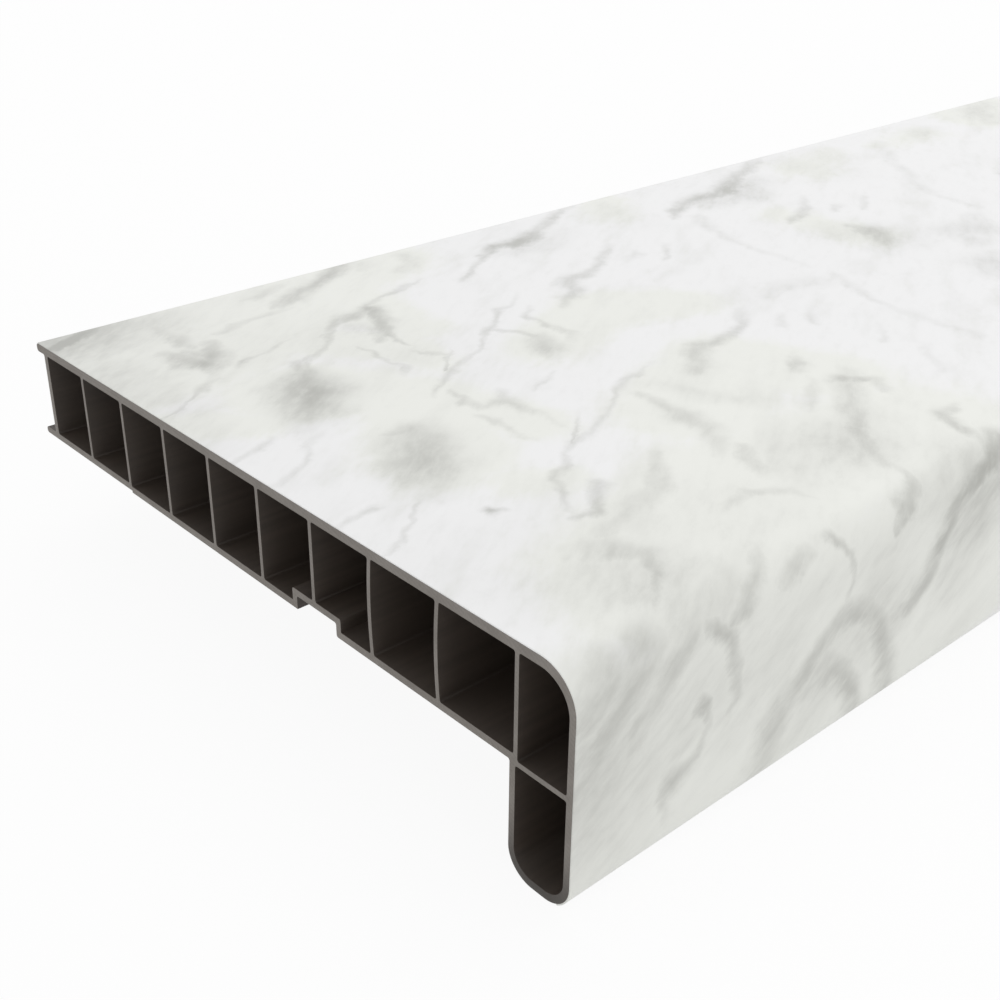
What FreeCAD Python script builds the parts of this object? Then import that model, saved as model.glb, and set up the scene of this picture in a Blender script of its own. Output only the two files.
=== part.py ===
"""Hollow plastic window sill board: a brown extruded profile under a white marbled decor film.

Units are millimetres. X runs along the length, Y from the nose (-Y) to the rear edge (+Y), and Z up.
The origin is the middle of the board's footprint, level with the bottom of the nose.
"""
import FreeCAD, Part
import math
import os

# Overall sizes
length = 1000.0
depth = 150.0
board_thickness = 20.0
nose_height = 40.0
nose_thickness = 12.5

# Walls of the extrusion
top_wall = 1.6
bottom_wall = 1.3
web_wall = 0.8
back_wall = 1.3
nose_front_wall = 1.15
nose_back_wall = 1.15
nose_bottom_wall = 1.4
strut_wall = 0.9
strut_rise = 0.4

# Chambers: centre to centre of the webs behind the nose, then equal ones up to the back wall
front_pitches = (16.35, 15.4, 14.9)
rear_chambers = 6
web_bow = 0.65

# Rear edge
lower_lip = 3.9
upper_lip_setback = 1.1
rear_relief_height = 0.4
relief_chambers = 2

# Groove in the underside
groove_width = 10.5
groove_depth = 2.5
groove_wall = 1.2
groove_offset = 0.5

# Decor film
film_thickness = 0.25
film_wrap_angle = 60.0

# Rounded edges, as radii at the outside of the film where it covers them
nose_top_radius = 7.0
nose_toe_radius = 5.0
nose_heel_radius = 5.0
lip_radius = 0.6
root_radius = 0.4

# Levels and stations worked out from the sizes above
underside = nose_height - board_thickness
top_skin = nose_height - film_thickness
ceiling = top_skin - top_wall
floor = underside + bottom_wall
nose_face = film_thickness
nose_inside = nose_face + nose_front_wall
strut_top = underside + strut_rise
strut_bottom = strut_top - strut_wall
back_face = depth - lower_lip
upper_lip_end = depth - upper_lip_setback
nose_web = nose_thickness - nose_back_wall


def web_stations():
    """Distances of the webs' centres from the nose face, from the nose back to the rear wall."""
    stations = [nose_web]
    for pitch in front_pitches:
        stations.append(stations[-1] + pitch)
    rear_pitch = (back_face - back_wall / 2 - stations[-1]) / rear_chambers
    for index in range(1, rear_chambers):
        stations.append(stations[len(front_pitches)] + rear_pitch * index)
    return stations


stations = web_stations()
groove_middle = stations[len(front_pitches)] - groove_offset
groove_front = groove_middle - groove_width / 2
groove_rear = groove_middle + groove_width / 2
groove_ceiling = underside + groove_depth
relief_start = stations[-relief_chambers] - web_wall / 2
relief_underside = underside + rear_relief_height


def point(y, z):
    """A point of the section, given by its distance behind the nose face and its height."""
    return FreeCAD.Vector(-length / 2, y - depth / 2, z)


def outline(corners):
    """Closed wire through (y, z, radius) corners, with a tangent arc at each one that has a radius."""
    places = [point(y, z) for y, z, radius in corners]
    spans = []
    for index, (y, z, radius) in enumerate(corners):
        corner = places[index]
        if radius <= 0:
            spans.append((corner, None, corner))
            continue
        back = (places[index - 1] - corner).normalize()
        ahead = (places[(index + 1) % len(places)] - corner).normalize()
        half_angle = back.getAngle(ahead) / 2
        setback = radius / math.tan(half_angle)
        inward = (back + ahead).normalize()
        middle = corner + inward * (radius / math.sin(half_angle) - radius)
        spans.append((corner + back * setback, middle, corner + ahead * setback))
    edges = []
    for index, (start, middle, end) in enumerate(spans):
        if middle is not None:
            edges.append(Part.Arc(start, middle, end).toShape())
        following = spans[(index + 1) % len(spans)][0]
        if end.distanceToPoint(following) > 1e-6:
            edges.append(Part.LineSegment(end, following).toShape())
    return Part.Wire(edges)


def profile_outline():
    """Outer edge of the extrusion, from the top of the nose back over the rear edge and underneath."""
    return outline([
        (nose_face, top_skin, nose_top_radius - film_thickness),
        (upper_lip_end, top_skin, lip_radius),
        (upper_lip_end, ceiling, lip_radius),
        (back_face, ceiling, root_radius),
        (back_face, relief_underside + bottom_wall, root_radius),
        (depth, relief_underside + bottom_wall, lip_radius),
        (depth, relief_underside, lip_radius),
        (relief_start, relief_underside, 0),
        (relief_start, underside, 0),
        (groove_rear, underside, 0),
        (groove_rear, groove_ceiling, root_radius),
        (groove_front, groove_ceiling, root_radius),
        (groove_front, underside, root_radius),
        (nose_thickness, underside, root_radius),
        (nose_thickness, 0, nose_heel_radius),
        (nose_face, 0, nose_toe_radius - film_thickness),
    ])


def bowed_side(y, bottom, top, bow):
    """Corner at half height that makes the side of a web a long arc, or nothing if it is straight."""
    if bow == 0:
        return []
    half_height = (top - bottom) / 2
    arc_radius = 0.8 * half_height * half_height / bow
    return [(y + bow, (top + bottom) / 2, arc_radius)]


def chamber(index):
    """Hole between two neighbouring webs; its floor follows the groove and the relief below it."""
    front_web = stations[index]
    front = front_web + web_wall / 2
    rear = back_face - back_wall
    if index + 1 < len(stations):
        rear = stations[index + 1] - web_wall / 2
    bottom = floor
    if front >= relief_start:
        bottom = floor + rear_relief_height
    front_bow = bow_of(index)
    rear_bow = bow_of(index + 1)
    corners = [(front, ceiling, root_radius)]
    shell_front = groove_front - groove_wall
    shell_rear = groove_rear + groove_wall
    shell_top = groove_ceiling + groove_wall
    front_bottom = bottom
    rear_bottom = bottom
    step = []
    if front < shell_front < rear:
        rear_bottom = shell_top
        step = [(shell_front, bottom, 0), (shell_front, shell_top, root_radius)]
    elif front < shell_rear < rear:
        front_bottom = shell_top
        step = [(shell_rear, shell_top, root_radius), (shell_rear, bottom, 0)]
    corners += bowed_side(front, front_bottom, ceiling, front_bow)
    corners.append((front, front_bottom, root_radius))
    corners += step
    corners.append((rear, rear_bottom, root_radius))
    corners += bowed_side(rear, rear_bottom, ceiling, rear_bow)
    corners.append((rear, ceiling, root_radius))
    return outline(corners)


def bow_of(index):
    """The webs between the wide chambers bow to the rear, and the others are straight."""
    if 0 < index < len(front_pitches):
        return web_bow
    return 0


def nose_upper_chamber():
    """Hole in the nose above the strut, rounded where the nose turns into the top."""
    web_face = nose_web - web_wall / 2
    return outline([
        (nose_inside, ceiling, nose_top_radius - film_thickness - nose_front_wall),
        (nose_inside, strut_top, root_radius),
        (web_face, strut_top, root_radius),
        (web_face, ceiling, root_radius),
    ])


def nose_lower_chamber():
    """Hole in the nose below the strut, with a round bottom like the outside."""
    nose_back_inside = nose_thickness - nose_back_wall
    return outline([
        (nose_inside, strut_bottom, root_radius),
        (nose_inside, nose_bottom_wall, nose_toe_radius - film_thickness - nose_front_wall),
        (nose_back_inside, nose_bottom_wall, nose_heel_radius - nose_back_wall),
        (nose_back_inside, strut_bottom, root_radius),
    ])


def extruded(wires):
    """Solid along the whole length, from the outer wire and the wires of the holes in it."""
    face = Part.makeFace(wires, "Part::FaceMakerBullseye")
    return face.extrude(FreeCAD.Vector(length, 0, 0))


def sill_profile():
    """The hollow extrusion: one piece with its webs, nose, lips and groove."""
    wires = [profile_outline(), nose_upper_chamber(), nose_lower_chamber()]
    for index in range(len(stations)):
        wires.append(chamber(index))
    return extruded(wires)


def film_edges(inset):
    """Edges of the film's section at a depth below its face, from the rear end round to the toe."""
    top_centre = point(nose_top_radius, nose_height - nose_top_radius)
    toe_centre = point(nose_toe_radius, nose_toe_radius - film_thickness)
    top_arc = arc(top_centre, nose_top_radius - inset, 90, 180)
    toe_arc = arc(toe_centre, nose_toe_radius - inset, 180, 180 + film_wrap_angle)
    rear_end = point(upper_lip_end - lip_radius, nose_height - inset)
    top_line = Part.LineSegment(rear_end, top_arc.StartPoint)
    front_line = Part.LineSegment(top_arc.EndPoint, toe_arc.StartPoint)
    return [top_line, top_arc, front_line, toe_arc]


def arc(centre, radius, start_angle, end_angle):
    """Arc in the plane of the section, by angles in degrees from the rearward direction."""
    places = []
    for angle in (start_angle, (start_angle + end_angle) / 2, end_angle):
        turn = math.radians(angle)
        places.append(centre + FreeCAD.Vector(0, radius * math.cos(turn), radius * math.sin(turn)))
    return Part.Arc(places[0], places[1], places[2])


def decor_film():
    """The film laminated to the top and the front of the nose."""
    face_side = film_edges(0)
    glue_side = film_edges(film_thickness)
    rear_end = Part.LineSegment(glue_side[0].StartPoint, face_side[0].StartPoint)
    toe_end = Part.LineSegment(face_side[-1].EndPoint, glue_side[-1].EndPoint)
    edges = face_side + [toe_end] + glue_side[::-1] + [rear_end]
    wire = Part.Wire(Part.__sortEdges__([edge.toShape() for edge in edges]))
    return extruded([wire])


def main():
    os.makedirs("parts", exist_ok=True)
    sill_profile().exportStep("parts/sill_profile.step")
    decor_film().exportStep("parts/decor_film.step")


main()
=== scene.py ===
"""Window sill board: a hollow brown plastic extrusion under a white marbled film, on a pale studio floor.

Everything is in metres in the frame's axes: X along the board, Y from the nose to the rear edge, Z up.
"""

import math

import bpy
from mathutils import Euler, Matrix, Vector


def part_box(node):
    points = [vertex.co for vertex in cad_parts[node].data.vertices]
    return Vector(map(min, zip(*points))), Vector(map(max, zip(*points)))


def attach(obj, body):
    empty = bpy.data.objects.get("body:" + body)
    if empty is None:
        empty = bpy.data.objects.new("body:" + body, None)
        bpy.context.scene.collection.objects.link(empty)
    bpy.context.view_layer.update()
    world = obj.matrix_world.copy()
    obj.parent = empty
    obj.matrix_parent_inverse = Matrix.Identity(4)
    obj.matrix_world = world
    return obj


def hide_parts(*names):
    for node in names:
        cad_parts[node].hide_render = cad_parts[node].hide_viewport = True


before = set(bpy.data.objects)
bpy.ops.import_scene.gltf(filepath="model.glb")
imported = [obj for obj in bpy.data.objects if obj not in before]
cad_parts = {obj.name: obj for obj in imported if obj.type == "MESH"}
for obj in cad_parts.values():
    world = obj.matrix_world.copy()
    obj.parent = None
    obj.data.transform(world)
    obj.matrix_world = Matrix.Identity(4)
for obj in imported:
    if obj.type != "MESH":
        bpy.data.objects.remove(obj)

bl_info = {
    "name": "Window sill board",
    "version": (1, 0, 0),
    "blender": (4, 5, 0),
    "location": "View3D > Sidebar > Sill board",
    "description": "Builds a hollow window sill board with a marbled film and its studio stage",
    "category": "Object",
}

PROFILE_LOW, PROFILE_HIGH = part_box("sill_profile")
FILM_LOW, FILM_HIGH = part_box("decor_film")
NEAR_END = PROFILE_LOW.x
BOARD_LENGTH = PROFILE_HIGH.x - PROFILE_LOW.x
NOSE_FACE_Y = FILM_LOW.y
BOARD_DEPTH = PROFILE_HIGH.y - FILM_LOW.y
NOSE_HEIGHT = FILM_HIGH.z - PROFILE_LOW.z
MILLIMETRE = 0.001

# Meshes: the share of a web's half height that the arc of its bow takes, the deepest facet as a
# share of its radius, how far a face turns towards the board's ends to count as sawn, and the
# easing of the film's edges as a share of its thickness
BOW_ARC_SHARE = 0.8
DEEPEST_FACET = 0.2
END_FACING = 0.5
FILM_EDGE_SHARE = 0.2
WELD_DISTANCE = 0.002 * MILLIMETRE
EASING_SEGMENTS = 2
EASED_ANGLE = math.radians(50.0)
SHARP_ANGLE = math.radians(32.0)

# Plastic of the profile: how fine its die lines, mottle and saw marks are, to the metre, and how
# far its tone goes to either side
DIE_LINE_STRETCH = (4.0, 900.0, 900.0)
SKIN_MOTTLE_SCALE = 60.0
SKIN_ROUGHNESS_SPREAD = 0.16
SKIN_DARKEST = 0.82
SKIN_LIGHTEST = 1.18
TONE_LEVELS = (0.3, 0.7)
SAWN_BLOTCH_SCALE = 180.0
SAWN_FINE_SCALE = 2600.0
SAWN_DARKEST = (0.86, 0.85, 0.84)
SAWN_LIGHTEST = (1.12, 1.12, 1.12)

# Saw marks run round a point below the board, given by its Y and Z, and their phase grows by so
# many radians to the metre. Towards the foot of the nose painted shade darkens the sawn end, fading
# out between two shares of the nose's height.
SAW_CENTRE = (0.05, -0.16)
SAW_MARK_PHASE = 9000.0
SAW_MARK_WOBBLE = 9.0
PAINTED_SHADE_HEIGHTS = (0.03, 0.30)
PAINTED_SHADE_SHARE = 0.38

# Stage, in metres: each light's place and aim, from the middle of the near end's top, and its size
FLOOR_HALF = 8.0
CAMERA_NEAREST = 0.01
KEY_LIGHT = ((0.7, 0.4, 1.5), (0.4, 0.0, 0.0), 1.6)
FILL_LIGHT = ((0.1, -1.3, 0.2), (0.1, 0.0, -0.02), 0.8)


# Settings

def length_setting(name, description, millimetres):
    """A size in the sidebar, given here in millimetres and kept in metres."""
    return bpy.props.FloatProperty(
        name=name, description=description, default=millimetres * MILLIMETRE,
        min=0.0, precision=5, subtype="DISTANCE", unit="LENGTH")


def colour_setting(name, description, colour):
    """A linear colour in the sidebar."""
    return bpy.props.FloatVectorProperty(
        name=name, description=description, default=colour, size=3,
        min=0.0, max=1.0, subtype="COLOR")


def factor_setting(name, description, value):
    """A share from 0 to 1 in the sidebar."""
    return bpy.props.FloatProperty(
        name=name, description=description, default=value, min=0.0, max=1.0, subtype="FACTOR")


def lengths_setting(name, description, millimetres):
    """Three lengths in the sidebar, given here in millimetres and kept in metres."""
    return bpy.props.FloatVectorProperty(
        name=name, description=description, default=[value * MILLIMETRE for value in millimetres],
        size=3, precision=5, subtype="XYZ_LENGTH", unit="LENGTH")


def angle_setting(name, description, degrees):
    """An angle in the sidebar, given here in degrees and kept in radians."""
    return bpy.props.FloatProperty(
        name=name, description=description, default=math.radians(degrees),
        subtype="ANGLE", unit="ROTATION")


def count_setting(name, description, count):
    """A number of like things in the sidebar."""
    return bpy.props.IntProperty(name=name, description=description, default=count, min=1)


def power_setting(name, description, watts):
    """A light's power in the sidebar."""
    return bpy.props.FloatProperty(
        name=name, description=description, default=watts, min=0.0, unit="POWER")


class SillSizes(bpy.types.PropertyGroup):
    """Sizes of the board's section."""
    board_thickness: length_setting("Board thickness", "Height of the flat part", 20.0)
    nose_thickness: length_setting("Nose thickness", "Front to back of the nose", 12.5)
    top_wall: length_setting("Top wall", "Wall under the film", 1.6)
    bottom_wall: length_setting("Bottom wall", "Wall of the underside", 1.3)
    web_wall: length_setting("Web", "Thickness of the upright webs", 0.8)
    back_wall: length_setting("Rear wall", "Wall between the lips of the rear edge", 1.3)
    nose_front_wall: length_setting("Nose front wall", "Wall behind the film on the nose", 1.15)
    nose_back_wall: length_setting("Nose back wall", "Wall at the back of the nose", 1.15)
    nose_bottom_wall: length_setting("Nose bottom wall", "Wall at the bottom of the nose", 1.4)
    strut_wall: length_setting("Strut", "Thickness of the strut across the nose", 0.9)
    strut_rise: length_setting("Strut rise", "Top of the strut above the underside", 0.4)
    front_pitches: lengths_setting("Front pitches", "Web spacings behind the nose", (16.35, 15.4, 14.9))
    rear_chambers: count_setting("Rear chambers", "Equal chambers up to the rear wall", 6)
    relief_chambers: count_setting("Relief chambers", "Chambers over the raised underside", 2)
    web_bow: length_setting("Web bow", "How far the webs of the wide chambers bow", 0.65)
    lower_lip: length_setting("Lower lip", "Lower lip past the rear wall", 3.9)
    upper_lip_setback: length_setting("Upper lip setback", "Upper lip short of the lower one", 1.1)
    rear_relief_height: length_setting("Rear relief", "Step up of the rear underside", 0.4)
    groove_width: length_setting("Groove width", "Groove in the underside", 10.5)
    groove_depth: length_setting("Groove depth", "Groove in the underside", 2.5)
    groove_wall: length_setting("Groove wall", "Wall round the groove", 1.2)
    groove_offset: length_setting("Groove offset", "Groove's middle in front of its web", 0.5)
    film_thickness: length_setting("Film", "Thickness of the decor film", 0.25)
    film_wrap_angle: angle_setting("Film wrap", "How far the film goes round the toe", 60.0)
    nose_top_radius: length_setting("Nose top radius", "Outside of the film", 7.0)
    nose_toe_radius: length_setting("Nose toe radius", "Outside of the film", 5.0)
    nose_heel_radius: length_setting("Nose heel radius", "Back of the nose's bottom", 5.0)
    lip_radius: length_setting("Lip radius", "Rounded ends of the lips", 0.6)
    root_radius: length_setting("Root radius", "Where webs meet walls", 0.4)
    sawn_edge: length_setting("Sawn edge", "Easing of the sharp edges", 0.1)
    arc_tolerance: length_setting("Arc tolerance", "How far a facet leaves its arc", 0.004)


class SillFinish(bpy.types.PropertyGroup):
    """Colours and gloss of the board."""
    film_white: colour_setting("Film white", "Cool white ground of the marble", (0.893, 0.893, 0.895))
    film_cream: colour_setting("Film cream", "Warm clouds of the marble", (0.858, 0.866, 0.822))
    film_smoke: colour_setting("Film smoke", "Grey of the strokes", (0.430, 0.432, 0.402))
    film_roughness: factor_setting("Film roughness", "Satin of the film", 0.38)
    skin_brown: colour_setting("Skin brown", "Extruded skin of the plastic", (0.042, 0.0315, 0.024))
    skin_roughness: factor_setting("Skin roughness", "Satin of the skin", 0.52)
    sawn_grey: colour_setting("Sawn grey", "Dull grey-brown of the sawn ends", (0.226, 0.207, 0.188))
    sawn_roughness: factor_setting("Sawn roughness", "Dullness of the sawn ends", 0.75)


class SillStage(bpy.types.PropertyGroup):
    """Floor, light and camera."""
    lens: bpy.props.FloatProperty(
        name="Lens", description="Focal length", default=50.0, min=1.0, unit="CAMERA")
    camera_place: lengths_setting(
        "Camera place", "From the near end's top front corner", (-102.8, -97.8, 100.2))
    camera_heading: angle_setting("Camera heading", "Turn of the view from +X towards +Y", 47.65)
    camera_dip: angle_setting("Camera dip", "View below the horizon", 28.02)
    camera_roll: angle_setting("Camera roll", "Turn about the view", 0.62)
    floor_colour: colour_setting("Floor", "Pale studio floor", (0.88, 0.88, 0.88))
    shadow_depth: factor_setting("Shadow", "How much of the floor's shadow the camera sees", 0.07)
    sky_strength: bpy.props.FloatProperty(
        name="Sky strength", description="Even light from all round", default=0.74, min=0.0)
    key_power: power_setting("Key power", "Large soft light overhead", 8.0)
    fill_power: power_setting("Fill power", "Soft light towards the nose", 2.0)


# Section of the board

class Section:
    """Levels, stations and outlines of the section; y is behind the nose face and z is above its foot."""

    def __init__(self, sizes):
        self.sizes = sizes
        self.underside = NOSE_HEIGHT - sizes.board_thickness
        self.top_skin = NOSE_HEIGHT - sizes.film_thickness
        self.ceiling = self.top_skin - sizes.top_wall
        self.floor = self.underside + sizes.bottom_wall
        self.nose_inside = sizes.film_thickness + sizes.nose_front_wall
        self.strut_top = self.underside + sizes.strut_rise
        self.strut_bottom = self.strut_top - sizes.strut_wall
        self.back_face = BOARD_DEPTH - sizes.lower_lip
        self.upper_lip_end = BOARD_DEPTH - sizes.upper_lip_setback
        self.webs = self.web_stations()
        groove_middle = self.webs[len(sizes.front_pitches)] - sizes.groove_offset
        self.groove_front = groove_middle - sizes.groove_width / 2
        self.groove_rear = groove_middle + sizes.groove_width / 2
        self.groove_ceiling = self.underside + sizes.groove_depth
        self.relief_start = self.webs[-sizes.relief_chambers] - sizes.web_wall / 2
        self.relief_underside = self.underside + sizes.rear_relief_height

    def web_stations(self):
        """Distances of the webs' centres behind the nose face."""
        sizes = self.sizes
        webs = [sizes.nose_thickness - sizes.nose_back_wall]
        for pitch in sizes.front_pitches:
            webs.append(webs[-1] + pitch)
        last_wide = webs[-1]
        rear_pitch = (self.back_face - sizes.back_wall / 2 - last_wide) / sizes.rear_chambers
        for index in range(1, sizes.rear_chambers):
            webs.append(last_wide + rear_pitch * index)
        return webs

    def outline(self, corners):
        """Points of a closed outline through (y, z, radius) corners, with arcs where a radius is given."""
        points = []
        for index, (y, z, radius) in enumerate(corners):
            corner = Vector((y, z))
            if radius <= 0:
                points.append(corner)
                continue
            back = (Vector(corners[index - 1][:2]) - corner).normalized()
            ahead = (Vector(corners[(index + 1) % len(corners)][:2]) - corner).normalized()
            half_angle = back.angle(ahead) / 2
            centre = corner + (back + ahead).normalized() * (radius / math.sin(half_angle))
            start = corner + back * (radius / math.tan(half_angle)) - centre
            turn = start.angle_signed(corner + ahead * (radius / math.tan(half_angle)) - centre)
            points += self.arc(centre, radius, math.atan2(start.y, start.x), -turn)
        return points

    def arc(self, centre, radius, start, turn):
        """Points of an arc about centre, from the start angle through turn, both in radians."""
        widest = 2 * math.acos(1 - min(self.sizes.arc_tolerance / radius, DEEPEST_FACET))
        count = max(2, math.ceil(abs(turn) / widest))
        points = []
        for step in range(count + 1):
            angle = start + turn * step / count
            points.append(centre + Vector((math.cos(angle), math.sin(angle))) * radius)
        return points

    def profile_outline(self):
        """Outer edge of the extrusion."""
        sizes = self.sizes
        film = sizes.film_thickness
        relief_floor = self.relief_underside + sizes.bottom_wall
        return self.outline([
            (film, self.top_skin, sizes.nose_top_radius - film),
            (self.upper_lip_end, self.top_skin, sizes.lip_radius),
            (self.upper_lip_end, self.ceiling, sizes.lip_radius),
            (self.back_face, self.ceiling, sizes.root_radius),
            (self.back_face, relief_floor, sizes.root_radius),
            (BOARD_DEPTH, relief_floor, sizes.lip_radius),
            (BOARD_DEPTH, self.relief_underside, sizes.lip_radius),
            (self.relief_start, self.relief_underside, 0),
            (self.relief_start, self.underside, 0),
            (self.groove_rear, self.underside, 0),
            (self.groove_rear, self.groove_ceiling, sizes.root_radius),
            (self.groove_front, self.groove_ceiling, sizes.root_radius),
            (self.groove_front, self.underside, sizes.root_radius),
            (sizes.nose_thickness, self.underside, sizes.root_radius),
            (sizes.nose_thickness, 0, sizes.nose_heel_radius),
            (film, 0, sizes.nose_toe_radius - film),
        ])

    def bow_of(self, index):
        """The webs between the wide chambers bow to the rear, and the others are straight."""
        return self.sizes.web_bow if 0 < index < len(self.sizes.front_pitches) else 0.0

    def bowed_side(self, y, bottom, top, bow):
        """Corner at half height that makes a web's side a long arc, or nothing if it is straight."""
        if bow == 0:
            return []
        half_height = (top - bottom) / 2
        return [(y + bow, (top + bottom) / 2, BOW_ARC_SHARE * half_height * half_height / bow)]

    def chamber(self, index):
        """Hole behind a web; its floor follows the groove and the relief below it."""
        sizes = self.sizes
        root = sizes.root_radius
        front = self.webs[index] + sizes.web_wall / 2
        rear = self.back_face - sizes.back_wall
        if index + 1 < len(self.webs):
            rear = self.webs[index + 1] - sizes.web_wall / 2
        bottom = self.floor
        if front >= self.relief_start:
            bottom = self.floor + sizes.rear_relief_height
        front_bottom = bottom
        rear_bottom = bottom
        shell_front = self.groove_front - sizes.groove_wall
        shell_rear = self.groove_rear + sizes.groove_wall
        shell_top = self.groove_ceiling + sizes.groove_wall
        step = []
        if front < shell_front < rear:
            rear_bottom = shell_top
            step = [(shell_front, bottom, 0), (shell_front, shell_top, root)]
        elif front < shell_rear < rear:
            front_bottom = shell_top
            step = [(shell_rear, shell_top, root), (shell_rear, bottom, 0)]
        corners = [(front, self.ceiling, root)]
        corners += self.bowed_side(front, front_bottom, self.ceiling, self.bow_of(index))
        corners.append((front, front_bottom, root))
        corners += step
        corners.append((rear, rear_bottom, root))
        corners += self.bowed_side(rear, rear_bottom, self.ceiling, self.bow_of(index + 1))
        corners.append((rear, self.ceiling, root))
        return self.outline(corners)

    def nose_chambers(self):
        """The two holes in the nose, above and below its strut."""
        sizes = self.sizes
        root = sizes.root_radius
        web_face = self.webs[0] - sizes.web_wall / 2
        back_inside = sizes.nose_thickness - sizes.nose_back_wall
        upper = self.outline([
            (self.nose_inside, self.ceiling, sizes.nose_top_radius - self.nose_inside),
            (self.nose_inside, self.strut_top, root),
            (web_face, self.strut_top, root),
            (web_face, self.ceiling, root),
        ])
        lower = self.outline([
            (self.nose_inside, self.strut_bottom, root),
            (self.nose_inside, sizes.nose_bottom_wall, sizes.nose_toe_radius - self.nose_inside),
            (back_inside, sizes.nose_bottom_wall, sizes.nose_heel_radius - sizes.nose_back_wall),
            (back_inside, self.strut_bottom, root),
        ])
        return [upper, lower]

    def profile_loops(self):
        """Outer outline and holes of the extrusion."""
        chambers = [self.chamber(index) for index in range(len(self.webs))]
        return [self.profile_outline()] + chambers + self.nose_chambers()

    def film_path(self, inset):
        """Points of the film's section at a depth below its face, from the rear round to the toe."""
        sizes = self.sizes
        top_centre = Vector((sizes.nose_top_radius, NOSE_HEIGHT - sizes.nose_top_radius))
        toe_centre = Vector((sizes.nose_toe_radius, sizes.nose_toe_radius - sizes.film_thickness))
        quarter = math.pi / 2
        points = [Vector((self.upper_lip_end - sizes.lip_radius, NOSE_HEIGHT - inset))]
        points += self.arc(top_centre, sizes.nose_top_radius - inset, quarter, quarter)
        points += self.arc(toe_centre, sizes.nose_toe_radius - inset, 2 * quarter, sizes.film_wrap_angle)
        return points

    def film_loops(self):
        """Closed outline of the film."""
        return [self.film_path(0.0) + self.film_path(self.sizes.film_thickness)[::-1]]

    def around(self, y, z):
        """Distance round the film's face from its rear edge, for a point of the section."""
        radius = self.sizes.nose_top_radius
        centre_z = NOSE_HEIGHT - radius
        rear_edge = self.upper_lip_end - self.sizes.lip_radius
        turn = math.atan2(max(radius - y, 0.0), max(z - centre_z, 0.0))
        return rear_edge - max(y, radius) + radius * turn + centre_z - min(z, centre_z)


# Nodes

class Signal:
    """An output socket that Python's operators work on."""

    def __init__(self, nodes, socket):
        self.nodes = nodes
        self.socket = socket

    def __add__(self, other):
        return self.nodes.math("ADD", self, other)

    def __radd__(self, other):
        return self.nodes.math("ADD", other, self)

    def __sub__(self, other):
        return self.nodes.math("SUBTRACT", self, other)

    def __rsub__(self, other):
        return self.nodes.math("SUBTRACT", other, self)

    def __mul__(self, other):
        return self.nodes.math("MULTIPLY", self, other)

    def __rmul__(self, other):
        return self.nodes.math("MULTIPLY", other, self)

    def least(self, other):
        """The smaller of the two."""
        return self.nodes.math("MINIMUM", self, other)

    def most(self, other):
        """The larger of the two."""
        return self.nodes.math("MAXIMUM", self, other)

    def ramp(self, low, high, start=0.0, end=1.0):
        """Smooth step from start, at low, to end, at high."""
        settings = {"interpolation_type": "SMOOTHSTEP", "clamp": False}
        return self.nodes.signal("ShaderNodeMapRange", settings, {
            "Value": self, "From Min": low, "From Max": high, "To Min": start, "To Max": end})


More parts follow.
